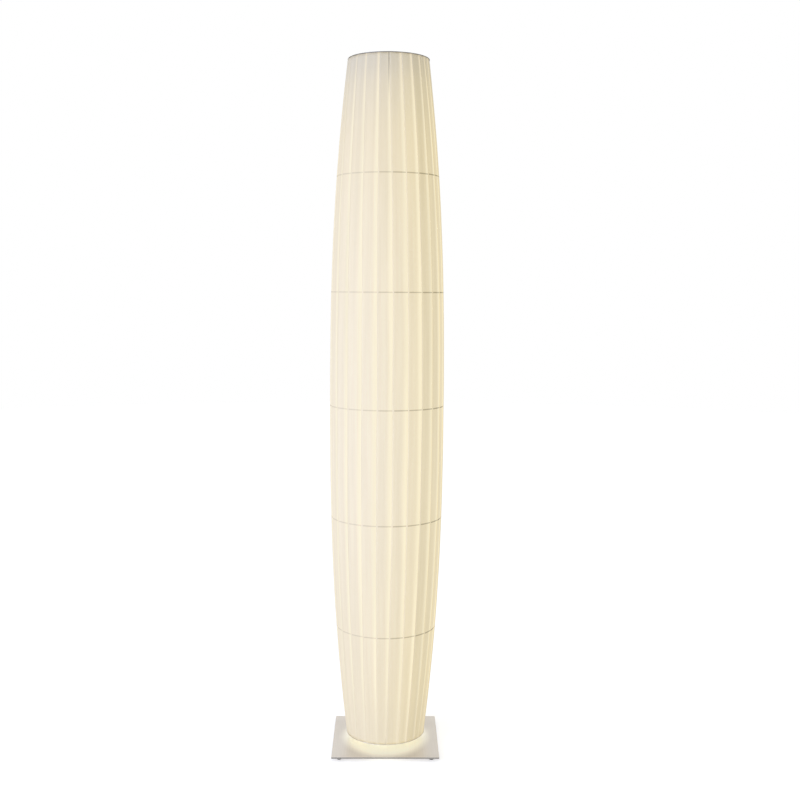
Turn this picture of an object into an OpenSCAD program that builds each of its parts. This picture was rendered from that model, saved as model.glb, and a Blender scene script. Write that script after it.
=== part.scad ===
// Column floor lamp. A tall barrel shade of overlapped fabric ribbons, drawn over
// metal hoops, hangs from a central spine on a square steel base and lifts off
// upwards. Two upright lamp tubes stand inside it, left and right of the spine.
// Millimetres, Z up. The origin is on the floor under the centre of the lamp,
// and its front faces -Y.

/* [Overall] */
// Height from the floor to the top of the shade
total_h = 1800; // [1760:5:2000]
// Gap between the base plate and the shade
shade_gap = 18; // [12:1:40]

/* [Base plate and feet] */
// Side of the square base plate
plate_w = 280; // [260:5:360]
// Thickness of the base plate
plate_t = 4; // [3.5:0.5:8]
// Radius of the plate's corners
plate_corner_r = 2; // [1:0.5:10]
// Diameter of a rubber foot
foot_d = 14; // [13:1:24]
// Height of a rubber foot
foot_h = 8; // [6:0.5:12]
// Distance from the plate's edges to the middle of a foot
foot_inset = 20; // [14:1:40]

/* [Shade frame] */
// Outer diameter of the top and bottom rings
ring_d = 202; // [180:2:240]
// Outer diameter that a hoop would have at the middle of the shade
hoop_mid_d = 294; // [240:2:340]
// Fullness of the barrel: higher is straighter in the middle
bulge_power = 2.4; // [2:0.1:4]
// Number of wire hoops between the two rings
hoop_count = 5; // [3:1:7]
// Diameter of the hoop wire
hoop_wire_d = 3; // [2:0.5:5]
// Height of the band of the top and bottom rings
ring_h = 12; // [8:1:20]
// Wall of the band of the top and bottom rings
ring_t = 2; // [1.5:0.5:3]
// Thickness of the lip that covers the ribbon ends
lip_t = 1.5; // [1:0.5:3]
// Diameter of the three straight rods between the rings
rod_d = 4; // [3:0.5:6]
// Diameter of the arms that carry the two rings
arm_d = 5; // [4:0.5:8]
// Diameter of the hub on top of the spine
hub_d = 34; // [30:1:50]
// Height of the hub
hub_h = 12; // [10:1:14]

/* [Ribbons] */
// Number of ribbons around the shade
ribbon_count = 23; // [16:1:23]
// Width of a ribbon, the same from top to bottom
ribbon_w = 68; // [50:1:80]
// Thickness of a ribbon
ribbon_t = 0.6; // [0.5:0.1:1.2]
// Room that each further layer of ribbon takes up outwards
layer_step = 1; // [1:0.1:2]
// Direction of the first free ribbon edge, from the front towards the right
first_edge_angle = 4.5; // [0:0.5:15]

/* [Spine and brackets] */
// Diameter of the spine tube
spine_d = 22; // [20:1:26]
// Wall of the spine tube
spine_t = 1.5; // [1:0.5:3]
// Diameter of the flange that holds the spine to the plate
flange_d = 56; // [50:1:58]
// Thickness of that flange
flange_t = 5; // [4:0.5:8]
// Height of the collar on the flange
collar_h = 22; // [16:1:26]
// Wall of the collar, and of the sleeves on the brackets
collar_t = 5; // [4:0.5:6]
// Thickness of the bracket sheet
bracket_t = 3; // [2:0.5:4]
// Width of the bracket sheet, front to back
bracket_w = 30; // [28:1:40]
// Height of the sleeve on a bracket
sleeve_h = 18; // [14:1:24]

/* [Lamp tubes and holders] */
// Distance from each end of the shade to the end of a lamp tube
lamp_end_room = 135; // [120:1:300]
// Diameter of the end caps of a lamp tube
lamp_d = 26; // [26:0.5:27]
// Distance from the middle of the lamp to the middle of a lamp tube
lamp_x = 32; // [31:0.5:34]
// Length of an end cap
cap_l = 18; // [14:1:24]
// Diameter of a contact pin
pin_d = 2.35; // [2.3:0.05:2.5]
// Distance between the two pins of a cap
pin_pitch = 12.7; // [12.5:0.1:12.9]
// Length of a contact pin
pin_l = 7; // [6.6:0.1:7.6]
// Height of a lampholder
holder_h = 22; // [18:1:30]

/* [Junction cover] */
// Diameter of the cover over the wiring
cover_d = 100; // [100:1:110]
// Height of the cover
cover_h = 48; // [46:1:70]
// Wall of the cover
cover_t = 1.5; // [1.5:0.5:3]
// Diameter of the supply cord that the inlet takes
cord_d = 7; // [6:0.5:8]
// Height of the cord inlet above the plate
inlet_z = 9; // [9:0.5:10]

/* [Fits] */
// Play between the shade and what guides it
guide_gap = 1.5; // [1:0.5:2]
// Gap under the hub, which rests on the spine cap
seat_gap = 0.2; // [0.1:0.1:0.3]
// Gap between a ribbon and the hoop under it
ribbon_gap = 0.3; // [0.2:0.1:0.4]
// Gap between fixed pieces that fit in each other
fit_gap = 0.1; // [0.05:0.05:0.2]
// Gap between a lamp tube or its pins and a lampholder
pin_gap = 0.3; // [0.25:0.05:0.4]

/* [Hidden] */
$fn = 96;
deg_per_rad = 180 / PI;
// How far a cut runs past the face that it opens
past = 1;

// Heights of the main levels
plate_z = foot_h;
plate_top = plate_z + plate_t;
shade_z = plate_top + shade_gap;
shade_h = total_h - shade_z;
shade_mid = shade_z + shade_h / 2;
hoop_pitch = shade_h / (hoop_count + 1);

// Shade frame
ring_r = ring_d / 2;
ring_inner_r = ring_r - ring_t;
hoop_mid_r = hoop_mid_d / 2;
frame_arms = 3;
rod_r = rod_d / 2;
rod_place_r = ring_inner_r - rod_r - fit_gap;
arm_r = arm_d / 2;
// An arm's flat end just meets the round inside of the ring's band
arm_end_r = sqrt(ring_inner_r * ring_inner_r - arm_r * arm_r);

// Ribbons: rings of points at every hoop and twice between hoops, and six
// facets across
ribbon_bays = hoop_count + 1;
ribbon_rings = 2 * ribbon_bays;
ribbon_facets = 6;
ribbon_z0 = shade_z + lip_t + ribbon_gap;
ribbon_z1 = total_h - lip_t - ribbon_gap;
ribbon_pitch_angle = 360 / ribbon_count;
ribbon_stack = ribbon_gap + layer_step * layers(ring_r) + ribbon_t;
lip_r = ring_r + ribbon_stack + ribbon_gap;

// Screws: [shank diameter, head diameter, head height, hexagon across corners]
foot_screw = [4, 7.6, 2.6, 2.9];
cover_screw = foot_screw;
flange_screw = [5, 9.6, 2.8, 3.5];
grub_d = 5;
grub_socket_d = 2.9;
socket_depth = 1.5;
thread_gap = fit_gap;
screw_end_wall = 0.8;

// A foot's screw head lies in a recess, clear of the floor
foot_recess_floor = 3.2;
foot_recess_gap = 0.5;
foot_edge_r = 0.8;

// Spine and what holds it
spine_r = spine_d / 2;
spine_inner_r = spine_r - spine_t;
flange_r = flange_d / 2;
collar_r = spine_r + fit_gap + collar_t;
flange_screw_count = 4;
flange_screw_r = (collar_r + flange_r) / 2;
cap_flange_t = 3;
cap_flange_edge = 2;
cap_flange_r = spine_r + cap_flange_edge;
cap_plug_h = 16;
boss_r = 6;
boss_chamfer = 2;
boss_gap = 0.3;
sleeve_t = collar_t / 2;
grub_sunk = 0.5;
grub_proud = 1.5;
hub_z = total_h - ring_h / 2 - hub_h / 2;
spider_axis_z = hub_z + hub_h / 2;
cap_seat_z = hub_z - seat_gap;
spine_top = cap_seat_z - cap_flange_t;
boss_top = hub_z + hub_h - boss_chamfer / 2;

// Lamp tubes and lampholders. A cap is a little wider than its glass.
lamp_l = shade_h - 2 * lamp_end_room;
lamp_r = lamp_d / 2;
lamp_z0 = shade_mid - lamp_l / 2;
lamp_z1 = shade_mid + lamp_l / 2;
cap_step = 0.3;
glass_r = lamp_r - cap_step;
glass_t = 1;
cap_wall = 2;
cap_glass_gap = 0.05;
holder_edge = 1;
holder_r = lamp_r + holder_edge;
holder_z = lamp_z0 - pin_gap - holder_h;
track_outer_r = pin_pitch / 2 + pin_d / 2 + pin_gap;
track_inner_r = pin_pitch / 2 - pin_d / 2 - pin_gap;
track_end_room = 1;
track_depth = pin_l + track_end_room;
slot_w = pin_d + 2 * pin_gap;
spigot_w = 12;
spigot_d = 8;
bracket_z = holder_z - bracket_t;
bracket_edge = 1;
bracket_r = lamp_x + holder_r + bracket_edge;
lead_hole_inset = 3;
lead_hole_x = lamp_x - holder_r + lead_hole_inset;

// Junction cover, its pillars, and the cord inlet
cover_r = cover_d / 2;
cover_inner_r = cover_r - cover_t;
cover_top_t = 2;
cover_top = plate_top + cover_h;
cover_spine_gap = 0.3;
pillar_r = 3.5;
pillar_wall_room = 6;
pillar_x = cover_inner_r - pillar_r - pillar_wall_room;
pillar_thread_l = 12;
cover_screw_room = 2;
stud_r = 2;
stud_l = 2.6;
cord_gap = 0.25;
inlet_r = cord_d / 2 + cord_gap;
inlet_lip = 1.5;
inlet_wall = 1.5;
inlet_flange_w = 3.2;
inlet_flange_r = inlet_r + inlet_flange_w;
inlet_axis_z = plate_top + inlet_z;
// The flanges of the inlet bush lie flat on each side of the curved wall
inlet_out_y = cover_r + fit_gap;
inlet_in_y = sqrt(cover_inner_r * cover_inner_r - inlet_flange_r * inlet_flange_r) - fit_gap;
block_size = [36, 13, 16];
block_poles = 3;
block_screw_d = 5;
block_wire_d = 4;
block_wall_room = 5;
block_y = -(cover_inner_r - block_wall_room - block_size[1] / 2);

// Guide ring of the shade, which runs round the junction cover. The arms are
// sunk a little into the ring, as they are into the hub.
spoke_root = 2;
guide_inner_r = cover_r + guide_gap;
guide_t = 4;
guide_h = 5;
guide_axis_z = shade_z + ring_h / 2;

// Wiring: a harness from the terminal block up the spine, and four leads
harness_r = 3.5;
harness_bend_r = 8;
lead_r = 1.5;
lead_bend_r = 6.5;
lead_drop = 12;
wire_sides = 8;
wire_hole_gap = 1.5;
entry_height = 36;
entry_z = plate_top + entry_height;
entry_hole_r = harness_r + wire_hole_gap;
side_hole_r = lead_r + wire_hole_gap;

// Colours
satin_steel = [0.80, 0.79, 0.78];
bright_steel = [0.66, 0.66, 0.67];
zinc = [0.72, 0.73, 0.75];
black_rubber = [0.06, 0.06, 0.06];
white_enamel = [0.93, 0.93, 0.91];
white_plastic = [0.90, 0.90, 0.88];
lit_glass = [1.00, 0.98, 0.92];
ribbon_cream = [0.96, 0.92, 0.84];

RIBBONS = [for (i = [1 : ribbon_count]) str("ribbon_", i < 10 ? "0" : "", i)];
HOOPS = [for (i = [1 : hoop_count]) str("hoop_", i)];
FEET = ["foot_front_left", "foot_front_right", "foot_rear_left", "foot_rear_right"];
HOLDERS = ["holder_lower_left", "holder_lower_right", "holder_upper_left", "holder_upper_right"];
FOOT_SIDES = [[-1, -1], [1, -1], [-1, 1], [1, 1]];
HOLDER_PLACES = [[-1, false], [1, false], [-1, true], [1, true]];

// ---------- Form of the shade ----------

// Outer radius of a hoop at height z
function hoop_r(z) =
    hoop_mid_r - (hoop_mid_r - ring_r) * pow(abs(z - shade_mid) / (shade_h / 2), bulge_power);

// How many ribbons lie over each other where the hoop has radius r
function layers(r) = ribbon_w * ribbon_count / (2 * PI * r);

// Point of a ribbon whose free edge is at angle edge. across runs from 0 at the
// free edge to 1 at the edge that is tucked under the next ribbons.
function ribbon_point(edge, z, across, out) =
    let (base = hoop_r(z),
         r = base + ribbon_gap + layer_step * layers(base) * (1 - across) + out,
         a = edge + across * ribbon_w / base * deg_per_rad)
    [r * sin(a), -r * cos(a), z];

function ribbon_z(k) =
    k == 0 ? ribbon_z0 :
    k == ribbon_rings ? ribbon_z1 :
    shade_z + k * shade_h / ribbon_rings;

// ---------- Helpers ----------

// Both triangles of a four-cornered face, split from a to c, or from b to d
function quad(a, b, c, d, b_to_d = false) =
    b_to_d ? [[a, b, d], [b, c, d]] : [[a, b, c], [a, c, d]];

module ring_of(count, radius, start = 0) {
    for (i = [0 : count - 1])
        rotate(start + i * 360 / count)
            translate([0, -radius, 0])
                children();
}

// Screw that stands on its head's underside at z = 0 and points up
module screw(size, length, play = 0) {
    cylinder(d = size[0] + 2 * play, h = length);
    difference() {
        translate([0, 0, -size[2]])
            cylinder(d = size[1] + 2 * play, h = size[2]);
        if (play == 0)
            translate([0, 0, -size[2] - past])
                cylinder(d = size[3], h = socket_depth + past, $fn = 6);
    }
}

// Screw with a countersunk head, flush at z = 0, that points up
module flat_screw(size, length, play = 0) {
    cylinder(d = size[0] + 2 * play, h = length);
    difference() {
        cylinder(d1 = size[1] + 2 * play, d2 = size[0] + 2 * play, h = size[2]);
        if (play == 0)
            translate([0, 0, -past])
                cylinder(d = size[3], h = socket_depth + past, $fn = 6);
    }
}

// Points of a quarter bend that starts at point p in direction u and ends in v
function bend(p, u, v, radius) =
    [for (a = [0 : 30 : 90]) p + radius * (sin(a) * u + (1 - cos(a)) * v)];

// Round wire swept along points that lie in one plane, which normal is square to
module wire(points, radius, normal) {
    last = len(points) - 1;
    side = 360 / wire_sides;
    rings = [for (i = [0 : last])
        let (d = points[min(i + 1, last)] - points[max(i - 1, 0)],
             b = cross(d / norm(d), normal))
        for (s = [0 : wire_sides - 1])
            points[i] + radius * (cos(s * side) * normal + sin(s * side) * b)];
    skin = [for (i = [0 : last - 1], s = [0 : wire_sides - 1])
        let (t = (s + 1) % wire_sides, a = i * wire_sides, b = a + wire_sides)
        for (face = quad(a + s, b + s, b + t, a + t)) face];
    ends = [for (s = [1 : wire_sides - 2], top = [0, 1])
        let (a = top * last * wire_sides)
        top == 1 ? [a, a + s + 1, a + s] : [a, a + s, a + s + 1]];
    polyhedron(rings, concat(skin, ends));
}

// ---------- Base ----------

module plate_outline() {
    straight = plate_w - 2 * plate_corner_r;
    square([plate_w, straight], center = true);
    square([straight, plate_w], center = true);
    for (x = [-1, 1], y = [-1, 1])
        translate([x, y] * straight / 2)
            circle(plate_corner_r);
}

module at_foot(side) {
    place = plate_w / 2 - foot_inset;
    translate([side[0] * place, side[1] * place, 0])
        children();
}

module at_flange_screws() {
    ring_of(flange_screw_count, flange_screw_r, 45)
        children();
}

module at_pillars() {
    for (x = [-1, 1])
        translate([x * pillar_x, 0, 0])
            children();
}

module base_plate() {
    color(satin_steel)
        difference() {
            translate([0, 0, plate_z])
                linear_extrude(plate_t)
                    plate_outline();
            for (side = FOOT_SIDES)
                at_foot(side)
                    translate([0, 0, foot_recess_floor])
                        cylinder(d = foot_screw[0] + 2 * thread_gap,
                                 h = plate_top - screw_end_wall - foot_recess_floor);
            at_flange_screws()
                translate([0, 0, plate_z])
                    flat_screw(flange_screw, plate_t + past, thread_gap);
            at_pillars()
                translate([0, 0, plate_top - stud_l - thread_gap])
                    cylinder(r = stud_r + thread_gap, h = stud_l + past);
        }
}

module foot(side) {
    rim = foot_d / 2;
    bore = foot_screw[0] / 2 + thread_gap;
    recess = foot_screw[1] / 2 + foot_recess_gap;
    color(black_rubber)
        at_foot(side)
            rotate_extrude()
                difference() {
                    union() {
                        translate([0, foot_edge_r])
                            square([rim, foot_h - foot_edge_r]);
                        square([rim - foot_edge_r, 2 * foot_edge_r]);
                        translate([rim - foot_edge_r, foot_edge_r])
                            circle(foot_edge_r);
                    }
                    translate([0, -past])
                        square([recess, foot_recess_floor + past]);
                    translate([0, -past])
                        square([bore, foot_h + 2 * past]);
                }
}

module foot_screws() {
    color(zinc)
        for (side = FOOT_SIDES)
            at_foot(side)
                translate([0, 0, foot_recess_floor])
                    screw(foot_screw, plate_top - screw_end_wall - thread_gap - foot_recess_floor);
}

module spine_flange() {
    color(bright_steel)
        difference() {
            translate([0, 0, plate_top]) {
                cylinder(r = flange_r, h = flange_t);
                cylinder(r = collar_r, h = flange_t + collar_h);
            }
            cylinder(r = spine_r + fit_gap, h = total_h);
            at_flange_screws()
                cylinder(d = flange_screw[0] + 2 * thread_gap, h = total_h);
            translate([0, 0, plate_top + flange_t + collar_h / 2])
                rotate([0, 90, 0])
                    cylinder(d = grub_d + 2 * thread_gap, h = collar_r + past);
        }
}

module flange_screws() {
    color(zinc)
        at_flange_screws()
            translate([0, 0, plate_z])
                flat_screw(flange_screw, plate_t + flange_t);
}

module spine_tube() {
    color(satin_steel)
        difference() {
            translate([0, 0, plate_top])
                cylinder(r = spine_r, h = spine_top - plate_top);
            translate([0, 0, plate_top - past])
                cylinder(r = spine_inner_r, h = total_h);
            translate([0, 0, entry_z])
                rotate([90, 0, 0])
                    cylinder(r = entry_hole_r, h = spine_r + past);
            for (z = lead_heights())
                translate([0, 0, z])
                    rotate([0, 90, 0])
                        cylinder(r = side_hole_r, h = spine_d + 2 * past, center = true);
        }
}

module spine_cap() {
    color(bright_steel) {
        translate([0, 0, spine_top - cap_plug_h])
            cylinder(r = spine_inner_r - fit_gap, h = cap_plug_h);
        translate([0, 0, spine_top])
            cylinder(r = cap_flange_r, h = cap_flange_t);
        translate([0, 0, cap_seat_z])
            cylinder(r = boss_r, h = boss_top - boss_chamfer - cap_seat_z);
        translate([0, 0, boss_top - boss_chamfer])
            cylinder(r1 = boss_r, r2 = boss_r - boss_chamfer, h = boss_chamfer);
    }
}

// ---------- Junction cover, wiring and cord inlet ----------

module junction_cover() {
    color(white_enamel)
        difference() {
            translate([0, 0, plate_top])
                cylinder(r = cover_r, h = cover_h);
            translate([0, 0, plate_top - past])
                cylinder(r = cover_inner_r, h = cover_h - cover_top_t + past);
            cylinder(r = spine_r + cover_spine_gap, h = total_h);
            at_pillars()
                cylinder(d = cover_screw[0] + 2 * thread_gap, h = total_h);
            translate([0, 0, inlet_axis_z])
                rotate([-90, 0, 0])
                    cylinder(r = inlet_r + inlet_wall + fit_gap, h = cover_d);
        }
}

module cover_pillars() {
    color(zinc)
        difference() {
            at_pillars() {
                translate([0, 0, plate_top])
                    cylinder(r = pillar_r, h = cover_h - cover_top_t);
                translate([0, 0, plate_top - stud_l])
                    cylinder(r = stud_r, h = stud_l + past);
            }
            at_pillars()
                translate([0, 0, cover_top - cover_top_t - pillar_thread_l])
                    cylinder(d = cover_screw[0] + 2 * thread_gap, h = total_h);
        }
}

module cover_screws() {
    color(zinc)
        at_pillars()
            translate([0, 0, cover_top])
                mirror([0, 0, 1])
                    screw(cover_screw, cover_top_t + pillar_thread_l - cover_screw_room);
}

// Rubber bush in the back of the cover, where the supply cord goes in
module cord_inlet() {
    color(black_rubber)
        translate([0, 0, inlet_axis_z])
            rotate([-90, 0, 0])
                difference() {
                    union() {
                        translate([0, 0, inlet_in_y - inlet_lip])
                            cylinder(r = inlet_flange_r, h = inlet_lip);
                        translate([0, 0, inlet_in_y - inlet_lip])
                            cylinder(r = inlet_r + inlet_wall, h = inlet_out_y - inlet_in_y + 2 * inlet_lip);
                        translate([0, 0, inlet_out_y])
                            cylinder(r = inlet_flange_r, h = inlet_lip);
                    }
                    translate([0, 0, inlet_in_y - inlet_lip - past])
                        cylinder(r = inlet_r, h = cover_r);
                }
}

module terminal_block() {
    pole_pitch = block_size[0] / block_poles;
    color(white_plastic)
        translate([0, block_y, plate_top])
            difference() {
                translate([-block_size[0] / 2, -block_size[1] / 2, 0])
                    cube(block_size);
                for (i = [0 : block_poles - 1])
                    translate([(i - (block_poles - 1) / 2) * pole_pitch, -block_size[1] / 4, 0]) {
                        translate([0, 0, block_size[2] / 2])
                            cylinder(d = block_screw_d, h = block_size[2]);
                        translate([0, -past, block_size[2] / 3])
                            rotate([90, 0, 0])
                                cylinder(d = block_wire_d, h = block_size[1]);
                    }
            }
}

// Heights at which the leads leave the spine, below and above the lamp tubes
function lead_heights() = [bracket_z - lead_drop, 2 * shade_mid - bracket_z + lead_drop];

// One lead, from the harness in the spine to the underside of a lower holder
function lead_path() =
    let (z = lead_heights()[0], x = lead_hole_x)
    concat([[harness_r + fit_gap, 0, z]],
           bend([x - lead_bend_r, 0, z], [1, 0, 0], [0, 0, 1], lead_bend_r),
           [[x, 0, holder_z - fit_gap]]);

// The harness goes up from the terminal block, in at the front of the spine and up in it
function harness_path() =
    let (start_y = block_y + block_size[1] / 4, r = harness_bend_r)
    concat([[0, start_y, plate_top + block_size[2] + fit_gap]],
           bend([0, start_y, entry_z - r], [0, 0, 1], [0, 1, 0], r),
           bend([0, -r, entry_z], [0, 1, 0], [0, 0, 1], r),
           [[0, 0, lead_heights()[1] + side_hole_r]]);

module wiring() {
    color(white_plastic) {
        wire(harness_path(), harness_r, [1, 0, 0]);
        for (upper = [false, true], side = [0, 1])
            turned_over(upper)
                mirror([side, 0, 0])
                    wire(lead_path(), lead_r, [0, 1, 0]);
    }
}

// ---------- Brackets and lampholders ----------

// Upper pieces are the lower ones turned over about the middle of the shade
module turned_over(upper) {
    if (upper)
        translate([0, 0, 2 * shade_mid])
            mirror([0, 0, 1])
                children();
    else
        children();
}

// Outline of the spigot under a holder, which sits in the bracket
module spigot_outline(play) {
    translate([lamp_x, 0])
        square([spigot_w + 2 * play, spigot_d + 2 * play], center = true);
}

module bracket(upper) {
    color(white_enamel)
        turned_over(upper)
            difference() {
                union() {
                    translate([0, 0, bracket_z])
                        linear_extrude(bracket_t)
                            intersection() {
                                circle(bracket_r);
                                square([2 * bracket_r, bracket_w], center = true);
                            }
                    translate([0, 0, bracket_z - sleeve_h])
                        cylinder(r = spine_r + fit_gap + sleeve_t, h = sleeve_h);
                }
                translate([0, 0, bracket_z - sleeve_h - past])
                    cylinder(r = spine_r + fit_gap, h = sleeve_h + bracket_t + 2 * past);
                for (side = [0, 1])
                    mirror([side, 0, 0]) {
                        translate([0, 0, bracket_z - past])
                            linear_extrude(bracket_t + 2 * past)
                                spigot_outline(fit_gap);
                        translate([lead_hole_x, 0, bracket_z - past])
                            cylinder(r = side_hole_r, h = bracket_t + 2 * past);
                        // Way for the lead through the sleeve
                        translate([0, 0, lead_heights()[0]])
                            rotate([0, 90, 0])
                                cylinder(r = side_hole_r, h = bracket_r);
                    }
                // Grub screw that clamps the sleeve, at the back
                translate([0, 0, bracket_z - sleeve_h + grub_d])
                    rotate([-90, 0, 0])
                        cylinder(d = grub_d + 2 * thread_gap, h = bracket_r);
            }
}

// Holder with a round track for the two pins and a slot that lets them in
// sideways, from outside
module lampholder(place) {
    face_z = holder_z + holder_h;
    color(white_plastic)
        turned_over(place[1])
            mirror([place[0] < 0 ? 1 : 0, 0, 0])
                difference() {
                    union() {
                        translate([lamp_x, 0, holder_z])
                            cylinder(r = holder_r, h = holder_h);
                        translate([lamp_x - holder_r, -holder_r, holder_z])
                            cube([holder_r, 2 * holder_r, holder_h]);
                        translate([0, 0, bracket_z])
                            linear_extrude(bracket_t)
                                spigot_outline(0);
                    }
                    translate([lamp_x, 0, face_z - track_depth])
                        difference() {
                            cylinder(r = track_outer_r, h = track_depth + past);
                            translate([0, 0, -past])
                                cylinder(r = track_inner_r, h = track_depth + 3 * past);
                        }
                    translate([lamp_x - track_outer_r + slot_w / 2, -slot_w / 2, face_z - track_depth])
                        cube([track_outer_r + holder_r, slot_w, track_depth + past]);
                }
}

module grub_screws() {
    color(bright_steel) {
        translate([0, 0, plate_top + flange_t + collar_h / 2])
            rotate([0, 90, 0])
                grub(collar_t - grub_sunk);
        for (upper = [false, true])
            turned_over(upper)
                translate([0, 0, bracket_z - sleeve_h + grub_d])
                    rotate([-90, 0, 0])
                        grub(sleeve_t + grub_proud);
    }
}

// Grub screw whose tip just meets the spine
module grub(length) {
    tip = spine_r + fit_gap / 2;
    difference() {
        translate([0, 0, tip])
            cylinder(d = grub_d, h = length);
        translate([0, 0, tip + length - socket_depth])
            cylinder(d = grub_socket_d, h = socket_depth + past, $fn = 6);
    }
}

// ---------- Lamp tubes ----------

module lamp_tube(side) {
    color(lit_glass)
        translate([side * lamp_x, 0, lamp_z0 + cap_wall])
            difference() {
                cylinder(r = glass_r, h = lamp_l - 2 * cap_wall);
                translate([0, 0, -past])
                    cylinder(r = glass_r - glass_t, h = lamp_l);
            }
}

module lamp_cap() {
    difference() {
        cylinder(r = lamp_r, h = cap_l);
        translate([0, 0, cap_wall])
            cylinder(r = glass_r + cap_glass_gap, h = cap_l);
    }
    for (y = [-1, 1])
        translate([0, y * pin_pitch / 2, 0]) {
            translate([0, 0, -pin_l + pin_d / 2])
                cylinder(d = pin_d, h = pin_l);
            translate([0, 0, -pin_l + pin_d / 2])
                sphere(d = pin_d);
        }
}

module lamp_caps(side) {
    color(bright_steel)
        translate([side * lamp_x, 0, 0]) {
            translate([0, 0, lamp_z0])
                lamp_cap();
            translate([0, 0, lamp_z1])
                mirror([0, 0, 1])
                    lamp_cap();
        }
}

// ---------- Shade frame ----------

// Band with a lip at its top, which covers the ends of the ribbons
module end_ring() {
    rotate_extrude() {
        translate([ring_inner_r, -ring_h])
            square([ring_t, ring_h]);
        translate([ring_inner_r, -lip_t])
            square([lip_r - ring_inner_r, lip_t]);
    }
}

module top_ring() {
    color(bright_steel)
        translate([0, 0, total_h])
            end_ring();
}

module bottom_ring() {
    color(bright_steel)
        translate([0, 0, shade_z])
            mirror([0, 0, 1])
                end_ring();
}

module hoop(i) {
    z = shade_z + i * hoop_pitch;
    color(bright_steel)
        translate([0, 0, z])
            rotate_extrude()
                translate([hoop_r(z) - hoop_wire_d / 2, 0])
                    circle(d = hoop_wire_d);
}

// Three arms from the top ring to the hub that rests on the spine
module spider() {
    color(bright_steel)
        difference() {
            union() {
                translate([0, 0, hub_z])
                    cylinder(d = hub_d, h = hub_h);
                frame_spokes(spider_axis_z, hub_d / 2 - spoke_root);
            }
            translate([0, 0, hub_z - past])
                cylinder(r = boss_r + boss_gap, h = hub_h + 2 * past);
        }
}

// Three arms from the bottom ring to the ring that runs round the cover
module guide_ring() {
    color(bright_steel) {
        translate([0, 0, guide_axis_z - guide_h / 2])
            difference() {
                cylinder(r = guide_inner_r + guide_t, h = guide_h);
                translate([0, 0, -past])
                    cylinder(r = guide_inner_r, h = guide_h + 2 * past);
            }
        frame_spokes(guide_axis_z, guide_inner_r + guide_t - spoke_root);
    }
}

module frame_spokes(z, start_r) {
    ring_of(frame_arms, 0, 180)
        translate([0, -start_r, z])
            rotate([90, 0, 0])
                cylinder(r = arm_r, h = arm_end_r - start_r);
}

module upright_rods() {
    color(bright_steel)
        ring_of(frame_arms, rod_place_r)
            translate([0, 0, shade_z + lip_t])
                cylinder(r = rod_r, h = shade_h - 2 * lip_t);
}

// ---------- Ribbons ----------

// One ribbon from ring to ring. Its free edge stands straight up, and since its
// width stays the same, it reaches further under its neighbours where the shade
// is narrow.
module ribbon(index) {
    edge = first_edge_angle + index * ribbon_pitch_angle;
    row = ribbon_facets + 1;
    points = [for (k = [0 : ribbon_rings], out = [ribbon_t, 0], j = [0 : ribbon_facets])
        ribbon_point(edge, ribbon_z(k), j / ribbon_facets, out)];
    // Each facet is split along its shorter diagonal, which changes at mid height
    skins = [for (k = [0 : ribbon_rings - 1], j = [0 : ribbon_facets - 1])
        let (a = k * 2 * row + j, b = a + 2 * row, upper = k >= ribbon_rings / 2)
        for (face = concat(quad(a, b, b + 1, a + 1, upper),
                           quad(a + row, a + row + 1, b + row + 1, b + row, upper))) face];
    edges = [for (k = [0 : ribbon_rings - 1])
        let (a = k * 2 * row, b = a + 2 * row, c = a + ribbon_facets, d = b + ribbon_facets)
        for (face = concat(quad(a + row, b + row, b, a),
                           quad(c, d, d + row, c + row))) face];
    ends = [for (j = [0 : ribbon_facets - 1])
        let (a = j, b = ribbon_rings * 2 * row + j)
        for (face = concat(quad(a + row, a, a + 1, a + row + 1),
                           quad(b, b + row, b + row + 1, b + 1))) face];
    color(ribbon_cream)
        polyhedron(points, concat(skins, edges, ends));
}

// ---------- Assembly ----------

base_plate();
for (i = [0 : 3])
    foot(FOOT_SIDES[i]);
foot_screws();
spine_flange();
flange_screws();
spine_tube();
spine_cap();
junction_cover();
cover_pillars();
cover_screws();
terminal_block();
cord_inlet();
bracket(false);  // lower_bracket
bracket(true);  // upper_bracket
for (i = [0 : 3])
    lampholder(HOLDER_PLACES[i]);
grub_screws();
wiring();
lamp_tube(-1);  // lamp_tube_left
lamp_caps(-1);  // lamp_caps_left
lamp_tube(1);  // lamp_tube_right
lamp_caps(1);  // lamp_caps_right
top_ring();
bottom_ring();
for (i = [1 : hoop_count])
    hoop(i);
spider();
guide_ring();
upright_rods();
for (i = [0 : ribbon_count - 1])
    ribbon(i);
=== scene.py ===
"""Column floor lamp: ribbon shade, steel base, lamp gear and studio stage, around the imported
frame."""

from collections import namedtuple
import math
import random

import bmesh
import bpy
from mathutils import Matrix, Vector


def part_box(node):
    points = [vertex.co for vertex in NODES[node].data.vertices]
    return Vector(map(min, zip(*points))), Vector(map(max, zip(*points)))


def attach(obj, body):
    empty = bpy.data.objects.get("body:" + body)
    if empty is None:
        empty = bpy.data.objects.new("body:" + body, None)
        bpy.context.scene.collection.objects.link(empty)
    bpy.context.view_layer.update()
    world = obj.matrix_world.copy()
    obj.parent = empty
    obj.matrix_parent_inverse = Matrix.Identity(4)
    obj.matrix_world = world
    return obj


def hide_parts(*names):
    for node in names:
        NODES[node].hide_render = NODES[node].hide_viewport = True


bl_info = {
    "name": "Column floor lamp",
    "version": (1, 0, 0),
    "blender": (4, 5, 0),
    "location": "3D View > Sidebar > Lamp",
    "description": "Ribbon shade, steel base, lamp gear and studio stage",
    "category": "Object",
}

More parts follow.
